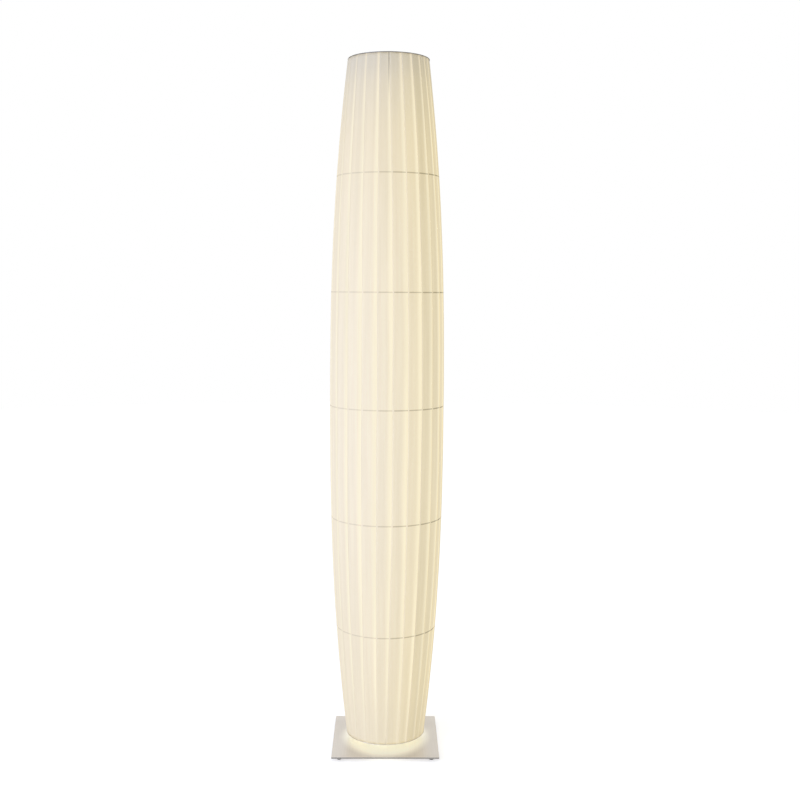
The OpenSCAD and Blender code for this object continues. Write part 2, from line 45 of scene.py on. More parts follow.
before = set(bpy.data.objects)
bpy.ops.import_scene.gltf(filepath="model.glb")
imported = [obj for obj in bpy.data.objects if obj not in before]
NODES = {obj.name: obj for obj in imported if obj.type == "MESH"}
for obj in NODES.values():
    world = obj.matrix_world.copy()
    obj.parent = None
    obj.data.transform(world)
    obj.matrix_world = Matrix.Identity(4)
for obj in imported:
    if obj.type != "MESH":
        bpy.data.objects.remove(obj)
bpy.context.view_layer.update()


def middle_height(name):
    """Height of the middle of a CAD node"""
    low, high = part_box(name)
    return (low.z + high.z) / 2


HOOPS = sorted(name for name in NODES if name.startswith("hoop_"))
HOOP_HEIGHTS = [middle_height(hoop) for hoop in HOOPS]
SHADE_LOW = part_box("bottom_ring")[0].z
SHADE_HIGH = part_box("top_ring")[1].z
SHADE_MID = (SHADE_LOW + SHADE_HIGH) / 2
SHADE_HALF = (SHADE_HIGH - SHADE_LOW) / 2
RIBBON_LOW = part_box("ribbon_01")[0].z
RIBBON_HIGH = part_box("ribbon_01")[1].z
LAMP_HALF = (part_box("lamp_tube_left")[1].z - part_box("lamp_tube_left")[0].z) / 2


# ---------- Settings ----------


def length_setting(name, description, default):
    """A length in metres"""
    return bpy.props.FloatProperty(
        name=name, description=description, default=default, unit="LENGTH")


def angle_setting(name, description, default):
    """An angle in radians"""
    return bpy.props.FloatProperty(
        name=name, description=description, default=default, subtype="ANGLE")


def power_setting(name, description, default):
    """The power of a light in watts"""
    return bpy.props.FloatProperty(
        name=name, description=description, default=default, unit="POWER")


def colour_setting(name, description, default):
    """A colour"""
    return bpy.props.FloatVectorProperty(
        name=name, description=description, default=default, subtype="COLOR", size=3)


class ShadeSettings(bpy.types.PropertyGroup):
    """Sizes and colours of the ribbon shade"""

    ribbons: bpy.props.IntProperty(
        name="Ribbons", description="How many ribbons lie around the shade",
        default=23, min=16, max=23)
    ribbon_width: length_setting(
        "Ribbon width", "Width of one ribbon, the same from end to end", 0.068)
    cloth_thickness: length_setting("Cloth thickness", "Thickness of the ribbon", 0.00045)
    layer_step: length_setting("Layer step", "How far each further layer stands out", 0.001)
    cloth_gap: length_setting("Cloth gap", "Gap between the hoops and the innermost layer", 0.0003)
    first_edge: angle_setting(
        "First edge", "Direction of the first free edge, from the front towards the right",
        math.radians(4.5))
    middle_radius: length_setting(
        "Middle radius", "Outer radius of a hoop at the middle of the shade", 0.147)
    end_radius: length_setting("End radius", "Outer radius of the two end rings", 0.101)
    fullness: bpy.props.FloatProperty(
        name="Fullness", description="How straight the barrel is in its middle", default=2.4)
    edge_drift: length_setting(
        "Edge drift", "How far a ribbon wanders sideways between the rings", 0.0006)
    edge_lift: length_setting(
        "Edge lift", "How far the free edge stands away from the layer under it", 0.0005)
    cloth: colour_setting(
        "Cloth", "Colour of the cloth over a second layer, when the lamp is off",
        (0.58, 0.56, 0.50))
    cloth_open: colour_setting(
        "Open cloth", "Colour of a single layer, which lets more light in, when the lamp is off",
        (0.33, 0.32, 0.285))
    glow: colour_setting(
        "Glow", "Light that comes through a single layer of cloth", (0.70, 0.61, 0.39))
    glow_end: colour_setting("End glow", "The same near the two end rings", (0.56, 0.475, 0.325))
    glow_dense: colour_setting(
        "Dense glow", "Light that comes through two layers of cloth", (0.427, 0.337, 0.155))
    glow_dense_end: colour_setting(
        "Dense end glow", "The same near the two end rings, where more layers overlap",
        (0.385, 0.287, 0.088))


class GearSettings(bpy.types.PropertyGroup):
    """Colours of the base, the frame and the lamp gear"""

    plate: colour_setting("Plate", "Satin steel of the base plate", (0.79, 0.74, 0.67))
    plate_glow: colour_setting(
        "Plate glow", "Light of the shade that spreads over the base plate", (0.98, 1.0, 0.80))
    nickel: colour_setting(
        "Nickel", "Satin nickel of the arms, hoops and rods", (0.36, 0.35, 0.33))
    # Lit and shaded copies of one nickel: painted light on the bottom ring, painted shade on the
    # top ring
    lit_nickel: colour_setting(
        "Lit nickel", "Bottom ring, painted lighter for the light of the plate below", (0.74, 0.70, 0.62))
    shaded_nickel: colour_setting(
        "Shaded nickel", "Top ring, painted darker for the shade it stands in", (0.20, 0.19, 0.18))
    zinc: colour_setting("Zinc", "Bright zinc of the screws", (0.60, 0.61, 0.63))
    aluminium: colour_setting("Aluminium", "Drawn caps of the lamp tubes", (0.74, 0.74, 0.75))
    spine_coat: colour_setting("Spine coat", "Powder coat of the spine", (0.80, 0.79, 0.77))
    enamel: colour_setting(
        "Enamel", "White powder coat of the cover and the brackets", (0.83, 0.83, 0.80))
    plastic: colour_setting(
        "Plastic", "White moulded plastic of the lampholders", (0.80, 0.80, 0.76))
    sheath: colour_setting("Sheath", "Plastic around the wires", (0.74, 0.74, 0.71))
    rubber: colour_setting(
        "Rubber", "Black rubber of the feet and the cord inlet", (0.008, 0.008, 0.008))
    glass: colour_setting("Glass", "Frosted glass of the lamp tubes", (0.24, 0.23, 0.21))
    lamp_light: colour_setting("Lamp light", "Light of the lamp tubes", (1.0, 0.86, 0.58))


class StageSettings(bpy.types.PropertyGroup):
    """Floor, lights and camera"""

    floor: colour_setting("Floor", "Colour of the pale floor", (0.86, 0.86, 0.85))
    sky: colour_setting("Sky", "Colour of the light from all round", (0.98, 0.985, 1.0))
    ambient: bpy.props.FloatProperty(
        name="Ambient", description="Light that comes evenly from all round", default=0.66)
    key_power: power_setting("Key power", "Power of the soft light on the left", 56.5)
    key_colour: colour_setting(
        "Key colour", "Colour of the soft light on the left", (0.49, 0.59, 1.0))
    pool_power: power_setting(
        "Pool power", "Power of the light that falls out of the shade onto the plate", 0.076)
    pool_colour: colour_setting(
        "Pool colour", "Colour of the light that falls out of the shade", (0.86, 1.0, 0.90))
    lens: bpy.props.FloatProperty(
        name="Lens", description="Focal length on a 36 mm sensor, in millimetres", default=49.73)
    camera_place: bpy.props.FloatVectorProperty(
        name="Camera place", description="Where the camera stands",
        default=(0.0, -2.8934, 1.2172), subtype="TRANSLATION", size=3)
    camera_pitch: angle_setting("Pitch", "How far the camera looks down", 0.0997)
    camera_yaw: angle_setting("Yaw", "How far the camera looks to the right", 0.01175)
    camera_roll: angle_setting("Roll", "How far the camera is turned about its own axis", 0.0063)


# ---------- Shader graphs ----------

# A Mix node's own colour sockets: its first and second colour, and what it gives
MIX_FIRST, MIX_SECOND, MIX_RESULT = 6, 7, 2
# A noise lies between about these values
NOISE_LOW, NOISE_HIGH = 0.3, 0.7


class Graph:
    """Short ways to add nodes to a shader tree. Where a value goes in, a socket may too"""

    def __init__(self, tree):
        self.tree = tree

    def node(self, kind, values=(), **props):
        made = self.tree.nodes.new(kind)
        for key, value in props.items():
            setattr(made, key, value)
        for socket, value in dict(values).items():
            self.feed(made.inputs[socket], value)
        return made

    def feed(self, socket, value):
        """Links the socket to another one, or sets it"""
        if isinstance(value, bpy.types.NodeSocket):
            self.tree.links.new(value, socket)
        else:
            socket.default_value = value

    def calc(self, operation, a, b=0.0):
        return self.node("ShaderNodeMath", {0: a, 1: b}, operation=operation).outputs[0]

    def plus(self, total, *others):
        for other in others:
            total = self.calc("ADD", total, other)
        return total

    def minus(self, a, b):
        return self.calc("SUBTRACT", a, b)

    def times(self, product, *others):
        for other in others:
            product = self.calc("MULTIPLY", product, other)
        return product

    def gap(self, a, b):
        """How far a and b lie apart"""
        return self.calc("ABSOLUTE", self.minus(a, b))

    def span(self, value, low, high, start=0.0, end=1.0, smooth=True):
        """value from low to high becomes start to end, and stays there beyond"""
        made = self.node("ShaderNodeMapRange", {"Value": value, "From Min": low, "From Max": high,
                                                "To Min": start, "To Max": end})
        made.interpolation_type = "SMOOTHSTEP" if smooth else "LINEAR"
        return made.outputs[0]

    def split(self, vector):
        """The x, y and z of a vector"""
        return self.node("ShaderNodeSeparateXYZ", {0: vector}).outputs

    def stretched(self, vector, scale):
        return self.node("ShaderNodeMapping", {"Vector": vector, "Scale": scale}).outputs[0]

    def noise(self, vector, scale=1.0, detail=3.0):
        return self.node("ShaderNodeTexNoise", {"Vector": vector, "Scale": scale,
                                                "Detail": detail}).outputs["Fac"]

    def vary(self, noise, start, end):
        """Spreads a noise from start to end"""
        return self.span(noise, NOISE_LOW, NOISE_HIGH, start, end)

    def blend(self, share, first, second, mode="MIX"):
        """From the first colour to the second as share goes from 0 to 1"""
        made = self.node("ShaderNodeMix", data_type="RGBA", blend_type=mode)
        self.feed(made.inputs["Factor"], share)
        for number, value in ((MIX_FIRST, first), (MIX_SECOND, second)):
            linked = isinstance(value, bpy.types.NodeSocket)
            self.feed(made.inputs[number], value if linked else (*value, 1.0))
        return made.outputs[MIX_RESULT]

    def scaled(self, colour, level):
        """colour times a number"""
        grey = self.node("ShaderNodeCombineColor", {0: level, 1: level, 2: level}).outputs[0]
        return self.blend(1.0, colour, grey, "MULTIPLY")

    def curve(self, value, stops):
        """A level that runs through the stops, which are pairs of a value and its level"""
        made = self.node("ShaderNodeValToRGB", {"Fac": value})
        ramp = made.color_ramp
        # A new stop may stand anywhere, because each gets its place below
        while len(ramp.elements) < len(stops):
            ramp.elements.new(0.5)
        for element, (position, level) in zip(ramp.elements, stops):
            element.position = position
            element.color = (level, level, level, 1.0)
        return made.outputs["Color"]

    def bump(self, height, distance, strength, below=None):
        """A normal from a height, over the normal below"""
        made = self.node("ShaderNodeBump", {"Height": height, "Distance": distance,
                                            "Strength": strength})
        if below is not None:
            self.feed(made.inputs["Normal"], below)
        return made.outputs["Normal"]

    def looked_at(self):
        """1 for what is seen straight, mirrored or through glass, 0 where it only gives light"""
        path = self.node("ShaderNodeLightPath").outputs
        rays = [path[f"Is {ray} Ray"] for ray in ("Camera", "Glossy", "Transmission")]
        return self.calc("MINIMUM", self.plus(*rays), 1.0)


class Finish(Graph):
    """One material, with its shader graph"""

    def __init__(self, name, colour, **sockets):
        self.material = bpy.data.materials.new(name)
        self.material.use_nodes = True
        self.material.diffuse_color = (*colour, 1.0)
        super().__init__(self.material.node_tree)
        self.shader = self.tree.nodes["Principled BSDF"]
        self.to("Base Color", (*colour, 1.0))
        for socket, value in sockets.items():
            self.to(socket.replace("_", " "), value)

    def to(self, socket, value):
        self.feed(self.shader.inputs[socket], value)

    def place(self):
        """Object coordinates"""
        return self.node("ShaderNodeTexCoord").outputs["Object"]

    def held(self, name):
        """A value that the mesh holds at each vertex"""
        return self.node("ShaderNodeAttribute", attribute_name=name).outputs["Fac"]


def wear(names, finish):
    """Gives CAD nodes a material"""
    for name in names:
        cad = NODES[name]
        if not cad.material_slots:
            cad.data.materials.append(finish.material)
        for held in cad.material_slots:
            held.material = finish.material


def metal_finish(name, colour, grain, roughness):
    """Drawn or brushed metal: lines, whose grain is a noise scale along x, y and z, and cloudy
    roughness"""
    made = Finish(name, colour, Metallic=1.0)
    at = made.place()
    lines = made.noise(made.stretched(at, grain), detail=2.0)
    clouds = made.noise(at, scale=14.0, detail=4.0)
    tone = made.plus(made.vary(lines, 0.93, 1.05), made.vary(clouds, -0.03, 0.03))
    made.to("Base Color", made.scaled(colour, tone))
    made.to("Roughness", made.plus(made.vary(clouds, roughness - 0.04, roughness + 0.05),
                                   made.vary(lines, -0.03, 0.03)))
    made.to("Normal", made.bump(lines, distance=0.00001, strength=0.6))
    return made


def coat_finish(name, colour, peel, roughness, depth=0.00004):
    """Powder coat or moulded plastic: orange peel, whose noise scale and depth are given, and
    dust"""
    made = Finish(name, colour, IOR=1.5)
    at = made.place()
    skin = made.noise(at, scale=peel, detail=2.0)
    dust = made.noise(at, scale=30.0, detail=4.0)
    made.to("Base Color", made.scaled(colour, made.vary(dust, 0.96, 1.02)))
    made.to("Roughness", made.vary(dust, roughness - 0.05, roughness + 0.08))
    made.to("Normal", made.bump(skin, distance=depth, strength=0.5))
    return made


# ---------- Cloth ----------

# How well the lamps light the cloth, from the bottom ring (0) to the top ring (1)
DENSE_LIT = [(0.0, 0.45), (0.062, 0.34), (0.124, 0.44), (0.206, 0.62), (0.277, 0.74), (0.373, 1.0),
             (0.446, 1.0), (0.61, 0.84), (0.718, 0.61), (0.79, 0.37), (0.867, 0.05), (0.91, 0.0)]
SINGLE_LIT = [(0.0, 0.30), (0.021, 0.45), (0.096, 0.95), (0.249, 1.0), (0.58, 1.0), (0.751, 0.95),
              (0.887, 0.95), (0.94, 0.80), (0.98, 0.30), (1.0, 0.10)]
# What the rings, and the extra layers of cloth near them, leave of the light
RING_SHADE = [(0.0, 0.90), (0.03, 0.95), (0.07, 1.0), (0.87, 1.0), (0.905, 0.955), (0.96, 0.78),
              (0.98, 0.63), (1.0, 0.53)]
# The second layer thins out and is gone at these shares of the way from one free edge to the
# next, in the middle of the shade, and by this much later at its two ends
THINS, THINS_LATER = 0.55, 0.17
GONE, GONE_LATER = 0.89, 0.06
# The darker rim of a free edge, as a share of the way to the next one, and how much darker it is
RIM_WIDTH, RIM_DARK = 0.03, 0.04
# The painted shadow of a hoop: how far from its middle it is dark and where it ends, what it
# takes of the glow and of the cloth's own colour, and where it starts and is full beside a free
# edge
HOOP_DARK, HOOP_END = 0.0009, 0.0023
HOOP_OFF_GLOW, HOOP_OFF_CLOTH = 0.30, 0.54
HOOP_START, HOOP_FULL = 0.03, 0.15
# The painted shadow of a rod: its angle to the next rod, how far from its middle it is dark and
# where it ends, how far below the top ring and above the bottom ring it can be seen, with what it
# takes of the glow there, and how much of that it takes of the cloth's own colour
ROD_PITCH = 2 * math.pi / 3
ROD_DARK, ROD_END = 0.0008, 0.0026
ROD_TOP, ROD_TOP_OFF = 0.13, 0.52
ROD_LOW, ROD_LOW_OFF = 0.03, 0.15
ROD_OFF_CLOTH = 0.45
# Slubs of the cloth, and the light and shade of shallow folds painted as soft streaks: their noise
# scale across, along and through it, half their change of tone, and the depth of the slubs
SLUB_SCALE, SLUB_TONE, SLUB_DEPTH = (420.0, 5.0, 1.0), 0.012, 0.00012
FOLD_SHADE_SCALE, FOLD_SHADE_TONE = (70.0, 2.2, 1.0), 0.03
# The weave: its pitch along and across the ribbon, and its depth
RIB_PITCH, THREAD_PITCH, WEAVE_DEPTH = 0.0009, 0.0007, 0.00003
# What each vertex of a ribbon holds: the share of the way to the next free edge, the ribbon's
# tone, how strong the painted shadow of the hoops is on it, and how far the nearest rod stands to
# the side
MARKS = ("step", "tone", "grip", "rod_gap")


def single_layer(made, step, z):
    """0 over two layers of cloth and 1 where a single layer is left, before the next free edge"""
    far = made.calc("DIVIDE", made.gap(z, SHADE_MID), SHADE_HALF)
    squared = made.times(far, far)
    thins = made.plus(THINS, made.times(squared, THINS_LATER))
    gone = made.plus(GONE, made.times(squared, GONE_LATER))
    return made.span(step, thins, gone)


def hoop_shadows(made, step, grip, z):
    """Painted shadow of the hoops, which touch the cloth from inside: 1 over a hoop and 0 beside
    it.
    The shadow is as strong as the ribbon's weight for it, and stops short of its free edge, which
    stands off"""
    lines = [made.span(made.gap(z, height), HOOP_DARK, HOOP_END, 1.0, 0.0)
             for height in HOOP_HEIGHTS]
    return made.times(made.plus(*lines), made.span(step, HOOP_START, HOOP_FULL), grip)


def rod_shadows(made, rod_gap, z):
    """Painted shadow of a rod: what it takes of the glow. The rods come close to the cloth near the
    two rings only
    """
    reach = made.plus(made.span(z, SHADE_HIGH - ROD_TOP, SHADE_HIGH, 0.0, ROD_TOP_OFF),
                      made.span(z, SHADE_LOW, SHADE_LOW + ROD_LOW, ROD_LOW_OFF, 0.0))
    beside = made.calc("ABSOLUTE", rod_gap)
    return made.times(made.span(beside, ROD_DARK, ROD_END, 1.0, 0.0), reach)


def cloth_glow(made, shade, single, z):
    """Light that comes through the cloth, before the hoops and rods take theirs"""
    height = made.span(z, SHADE_LOW, SHADE_HIGH, smooth=False)
    dense = made.blend(made.curve(height, DENSE_LIT), shade.glow_dense_end, shade.glow_dense)
    dense = made.blend(1.0, dense, made.curve(height, RING_SHADE), "MULTIPLY")
    bright = made.blend(made.curve(height, SINGLE_LIT), shade.glow_end, shade.glow)
    return made.blend(single, dense, bright)


def cloth_finish(shade):
    """Translucent ribbon, its light from inside painted as a glow. It is brightest in the strip of
    a single layer. The shadows of the hoops and, near the two rings, of the upright rods are
    painted on it as dark lines"""
    made = Finish("cream ribbon", shade.cloth, Roughness=0.82, Sheen_Weight=0.12,
                  Sheen_Roughness=0.5, Specular_IOR_Level=0.25)
    _x, _y, z = made.split(made.place())
    uv = made.node("ShaderNodeUVMap", uv_map="cloth").outputs[0]
    across, along, _w = made.split(uv)
    step, tone, grip, rod_gap = [made.held(name) for name in MARKS]
    single = single_layer(made, step, z)
    hoops = hoop_shadows(made, step, grip, z)
    rods = rod_shadows(made, rod_gap, z)
    slubs = made.noise(made.stretched(uv, SLUB_SCALE))
    fold_shade = made.noise(made.stretched(uv, FOLD_SHADE_SCALE), detail=2.0)
    # Slub tone, with the painted light and shade of shallow folds
    fine = made.plus(made.vary(slubs, -SLUB_TONE, SLUB_TONE),
                     made.vary(fold_shade, -FOLD_SHADE_TONE, FOLD_SHADE_TONE))
    rim = made.span(step, 0.0, RIM_WIDTH, 1.0, 0.0)
    level = made.plus(made.minus(tone, made.times(rim, RIM_DARK)), fine)
    # What the painted shadows of the hoops and rods leave of the glow
    kept = made.times(made.minus(1.0, made.times(hoops, HOOP_OFF_GLOW)), made.minus(1.0, rods))
    glow = cloth_glow(made, shade, single, z)
    made.to("Emission Color", made.scaled(glow, made.times(level, kept)))
    made.to("Emission Strength", 1.0)
    # Painted shadow: the hoops and rods also darken the cloth's own colour
    lost = made.plus(made.times(hoops, HOOP_OFF_CLOTH), made.times(rods, ROD_OFF_CLOTH))
    body = made.blend(single, shade.cloth, shade.cloth_open)
    made.to("Base Color", made.scaled(body, made.times(level, made.minus(1.0, lost))))
    ribs = made.calc("SINE", made.times(along, 2 * math.pi / RIB_PITCH))
    threads = made.calc("SINE", made.times(across, 2 * math.pi / THREAD_PITCH))
    weave = made.bump(made.times(ribs, threads), WEAVE_DEPTH, strength=0.35)
    made.to("Normal", made.bump(slubs, SLUB_DEPTH, strength=0.5, below=weave))
    return made


# ---------- Ribbons ----------

# How a ribbon is laid: the degrees that its free edge lies to the right of even spacing at the
# middle, the bottom and the top of the shade, the weight of the painted hoop shadow on it, and its
# own tone
Way = namedtuple("Way", "middle bottom top grip tone")
# The ribbons in front, listed one by one, by their number from the first free edge
# The painted hoop shadow is weaker on the left, where the soft light falls, and stronger on the
# right
HAND_LAID = {
    18: (0.00, -2.50, -5.50, 0.35, 0.967), 19: (0.00, -2.50, -6.50, 0.35, 0.979),
    20: (0.40, -2.05, -4.95, 0.35, 0.986), 21: (1.35, -2.00, -4.00, 0.42, 1.002),
    22: (1.15, -0.70, -1.25, 0.55, 1.000), 0: (0.80, -3.45, -3.70, 0.75, 1.012),
    1: (0.45, -2.45, -2.95, 0.80, 1.036), 2: (-0.05, -4.45, -3.40, 1.00, 0.968),
    3: (-1.05, -5.10, -4.70, 1.10, 0.977), 4: (-2.30, -10.30, -8.90, 1.20, 1.015),
    5: (-7.00, -13.00, -14.00, 1.10, 1.009),
}
# The others are likely to lie in these ranges, and the seed keeps them the same
LIKELY = [(-1, 1), (-4, 0), (-4, 0), (0.6, 1.1), (0.975, 1.02)]
SEED = 22
# How late an edge leans over on its way from the middle to a ring
LEAN_POWER = 2.1
# The cells of a ribbon's mesh, and how far the flat grid that it starts from reaches to each side
# of the origin
ACROSS, ALONG = 22, 216
GRID_HALF = 0.5
# Waves up the shade, in radians per metre. The sideways drift has two, each with its share. The
# lift of the free edge reaches this share of the way to the next one, and this part of it comes
# and goes in a wave. The billows run at a slant across the ribbon, and have some room under them,
# so that they stay clear of the hoops
DRIFT_WAVES = ((0.6, 9.0), (0.4, 21.0))
LIFT_REACH, LIFT_PART, LIFT_WAVE = 0.4, 0.2, 14
BILLOW, BILLOW_WAVE, BILLOW_SLANT, BILLOW_ROOM = 0.00006, 40, 4, 0.00008
# A face that turns outwards or inwards by more than this is smooth, and any other is a cut edge
FLAT_FACE = 0.7


def from_middle(z):
    """Share of the way from the middle of the shade to a ring"""
    return abs(z - SHADE_MID) / SHADE_HALF


def hoop_radius(shade, z):
    """Outer radius of a hoop at height z"""
    return shade.middle_radius - (
        shade.middle_radius - shade.end_radius) * from_middle(z) ** shade.fullness


def layers_at(shade, radius):
    """How many ribbons lie over each other where the hoop has this radius"""
    return shade.ribbon_width * shade.ribbons / (2 * math.pi * radius)


def laid(wander, count):
    """How each ribbon is laid"""
    return [Way(*(HAND_LAID.get(index) or [wander.uniform(*reach) for reach in LIKELY]))
            for index in range(count)]


def lean(way, z):
    """Angle by which a free edge departs from even spacing at height z"""
    end = way.top if z > SHADE_MID else way.bottom
    return math.radians(way.middle + (end - way.middle) * from_middle(z) ** LEAN_POWER)


def cell_place(vert):
    """Shares of the way across the ribbon, from its free edge, and up it, in the flat grid"""
    return vert.co.x + GRID_HALF, vert.co.y + GRID_HALF


def height_at(up):
    """Height at a share of the way up the ribbon"""
    return RIBBON_LOW + up * (RIBBON_HIGH - RIBBON_LOW)


def ribbon_mesh(shade, index, ways, wander):
    """One ribbon from ring to ring. Its free edge is on the left, and the rest of it tucks under
    its neighbours"""
    shape = bmesh.new()
    uv = shape.loops.layers.uv.new("cloth")
    step, tone, grip, rod_gap = [shape.verts.layers.float.new(name) for name in MARKS]
    bmesh.ops.create_grid(shape, x_segments=ACROSS, y_segments=ALONG, size=GRID_HALF)
    for face in shape.faces:
        for corner in face.loops:
            across, up = cell_place(corner.vert)
            corner[uv].uv = (across * shade.ribbon_width + index, height_at(up))
    pitch = 2 * math.pi / shade.ribbons
    way, after = ways[index], ways[(index + 1) % len(ways)]
    *drifting, lifting, billowing = [wander.uniform(0, 2 * math.pi) for _ in range(4)]
    for vert in shape.verts:
        across, up = cell_place(vert)
        z = height_at(up)
        base = hoop_radius(shade, z)
        count = layers_at(shade, base)
        free = math.sin(math.pi * up) ** 0.5
        drift = free * shade.edge_drift * sum(
            share * math.sin(wave * z + phase)
            for (share, wave), phase in zip(DRIFT_WAVES, drifting))
        lift = shade.edge_lift * max(0.0, 1 - across * count / LIFT_REACH) ** 2 * (
            1 - LIFT_PART + LIFT_PART * math.sin(LIFT_WAVE * z + lifting))
        billow = BILLOW * free * math.sin(BILLOW_WAVE * z + billowing + BILLOW_SLANT * across)
        layers = shade.layer_step * count * (1 - across)
        radius = base + shade.cloth_gap + BILLOW_ROOM + layers + lift + billow
        edge = shade.first_edge + index * pitch + lean(way, z)
        angle = edge + (across * shade.ribbon_width + drift) / base
        vert.co = (radius * math.sin(angle), -radius * math.cos(angle), z)
        vert[step] = (angle - edge) / (pitch + lean(after, z) - lean(way, z))
        vert[tone], vert[grip] = way.tone, way.grip
        vert[rod_gap] = ((angle + ROD_PITCH / 2) % ROD_PITCH - ROD_PITCH / 2) * base
    shape.normal_update()
    bmesh.ops.solidify(shape, geom=shape.faces[:], thickness=-shade.cloth_thickness)
    shape.normal_update()
    for face in shape.faces:
        middle = face.calc_center_median()
        outward = Vector((middle.x, middle.y, 0)).normalized()
        face.smooth = abs(face.normal.dot(outward)) > FLAT_FACE
    mesh = bpy.data.meshes.new(f"fabric_ribbon_{index + 1:02d}")
    shape.to_mesh(mesh)
    shape.free()
    return mesh


class LAMP_OT_ribbons(bpy.types.Operator):
    """Lay the ribbons over the hoops like shingles, each from ring to ring"""

    bl_idname = "lamp.ribbons"
    bl_label = "Ribbons"

    def execute(self, context):
        shade = context.scene.lamp_shade
        cloth = cloth_finish(shade)
        wander = random.Random(SEED)
        ways = laid(wander, shade.ribbons)
        for index in range(shade.ribbons):
            mesh = ribbon_mesh(shade, index, ways, wander)
            piece = bpy.data.objects.new(mesh.name, mesh)
            context.scene.collection.objects.link(piece)
            mesh.materials.append(cloth.material)
            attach(piece, "shade")
            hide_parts(f"ribbon_{index + 1:02d}")
        return {"FINISHED"}


# ---------- Frame, base and lamp gear ----------

# Noise scales along x, y and z that draw the lines of each metal
RING_GRAIN = (24.0, 24.0, 2600.0)
WIRE_GRAIN = (300.0, 300.0, 20.0)
PLATE_GRAIN = (700.0, 9.0, 60.0)
ZINC_GRAIN = (200.0, 200.0, 200.0)
CAP_GRAIN = (40.0, 40.0, 1800.0)
# Tone of the darker clouds on the plate, and the painted shade of its narrow sides against its top.
# How upright the normal is tells a side from the top
PLATE_CLOUDS, PLATE_SIDE_SHADE = 0.96, 0.48
SIDE_UPRIGHT, TOP_UPRIGHT = 0.3, 0.8
# The glow on the plate: how much narrower it is across than from front to back, how far from the
# middle it is full and where it ends, and its strength
GLOW_NARROW = 1.2
GLOW_FULL, GLOW_END, GLOW_STRENGTH = 0.112, 0.152, 0.27
# The light of a lamp tube: how far from the tube's end it starts to rise and is full, its level
# at the very end, and its strength
TUBE_DIM, TUBE_FULL, TUBE_END_LEVEL = 0.012, 0.09, 0.35
TUBE_STRENGTH = 0.82


class LAMP_OT_frame(bpy.types.Operator):
    """Finish the rings, hoops, rods and arms that carry the ribbons"""

    bl_idname = "lamp.frame"
    bl_label = "Shade frame"

    def execute(self, context):
        gear = context.scene.lamp_gear
        wear(["spider", "guide_ring"],
             metal_finish("satin nickel", gear.nickel, RING_GRAIN, roughness=0.36))
        # Painted shade: the top ring wears a darker copy of the nickel
        wear(["top_ring"],
             metal_finish("shaded nickel", gear.shaded_nickel, RING_GRAIN, roughness=0.4))
        # Painted light and reflection: the bottom ring wears a lighter copy of the nickel, for the
        # lit plate below
        wear(["bottom_ring"],
             metal_finish("lit nickel", gear.lit_nickel, RING_GRAIN, roughness=0.4))
        wear([*HOOPS, "upright_rods"],
             metal_finish("drawn wire", gear.nickel, WIRE_GRAIN, roughness=0.42))
        return {"FINISHED"}


def plate_finish(gear):
    """Satin steel with a fine grain, its narrow sides painted darker as shade. It glows faintly
    around the shade, a painted pool of the light that leaves the shade at a shallow angle and
    spreads over the steel"""
    made = Finish("satin plate", gear.plate, Metallic=0.5, Specular_IOR_Level=0.2)
    at = made.place()
    x, y, _z = made.split(at)
    grain = made.noise(made.stretched(at, PLATE_GRAIN), detail=2.0)
    clouds = made.noise(at, scale=9.0)
    darker = [PLATE_CLOUDS * level for level in gear.plate]
    tint = made.blend(made.span(clouds, 0.35, 0.65), gear.plate, darker)
    _nx, _ny, upright = made.split(made.node("ShaderNodeTexCoord").outputs["Normal"])
    # Painted shade: the plate's narrow sides are darker than its top, and so is the painted pool of
    # light
    side_shade_level = made.span(made.calc("ABSOLUTE", upright), SIDE_UPRIGHT, TOP_UPRIGHT, PLATE_SIDE_SHADE, 1.0)
    tone = made.times(made.vary(grain, 0.965, 1.03), side_shade_level)
    made.to("Base Color", made.scaled(tint, tone))
    made.to("Roughness", made.plus(made.vary(grain, 0.36, 0.46), made.vary(clouds, -0.03, 0.03)))
    made.to("Normal", made.bump(grain, distance=0.00002, strength=0.4))
    wide = made.times(x, x, GLOW_NARROW ** 2)
    reach = made.calc("SQRT", made.plus(wide, made.times(y, y)))
    glow = made.span(reach, GLOW_FULL, GLOW_END, GLOW_STRENGTH, 0.0)
    made.to("Emission Color", (*gear.plate_glow, 1.0))
    made.to("Emission Strength", made.times(glow, side_shade_level))
    return made


def rubber_finish(gear):
    """Black rubber with a rough skin and paler scuffs"""
    made = Finish("black rubber", gear.rubber, IOR=1.5, Specular_IOR_Level=0.12)
    at = made.place()
    skin = made.noise(at, scale=1400.0)
    scuffs = made.noise(at, scale=120.0)
    made.to("Base Color", made.scaled(gear.rubber, made.span(scuffs, 0.4, 0.8, 0.8, 1.8)))
    made.to("Roughness", made.vary(scuffs, 0.6, 0.8))
    made.to("Normal", made.bump(skin, distance=0.00005, strength=0.6))
    return made


def tube_finish(gear):
    """Frosted glass of a lit lamp tube, dimmer towards its two ends"""
    made = Finish("lit frosted glass", gear.glass, Roughness=0.28, IOR=1.5)
    at = made.place()
    _x, _y, z = made.split(at)
    from_end = made.minus(LAMP_HALF, made.gap(z, SHADE_MID))
    powder = made.noise(at, scale=160.0, detail=4.0)
    level = made.times(made.span(from_end, TUBE_DIM, TUBE_FULL, TUBE_END_LEVEL, 1.0),
                       made.vary(powder, 0.97, 1.03))
    made.to("Emission Color", made.scaled(gear.lamp_light, level))
    made.to("Emission Strength", TUBE_STRENGTH)
    made.to("Normal", made.bump(powder, distance=0.00003, strength=0.4))
    return made


class LAMP_OT_base(bpy.types.Operator):
    """Finish the steel plate, its rubber feet and the screws"""

    bl_idname = "lamp.base"
    bl_label = "Base"

    def execute(self, context):
        gear = context.scene.lamp_gear
        wear(["base_plate"], plate_finish(gear))
        wear(["foot_front_left", "foot_front_right", "foot_rear_left", "foot_rear_right",
              "cord_inlet"], rubber_finish(gear))
        wear(["foot_screws", "flange_screws", "cover_pillars", "cover_screws", "grub_screws"],
             metal_finish("bright zinc", gear.zinc, ZINC_GRAIN, roughness=0.3))
        return {"FINISHED"}


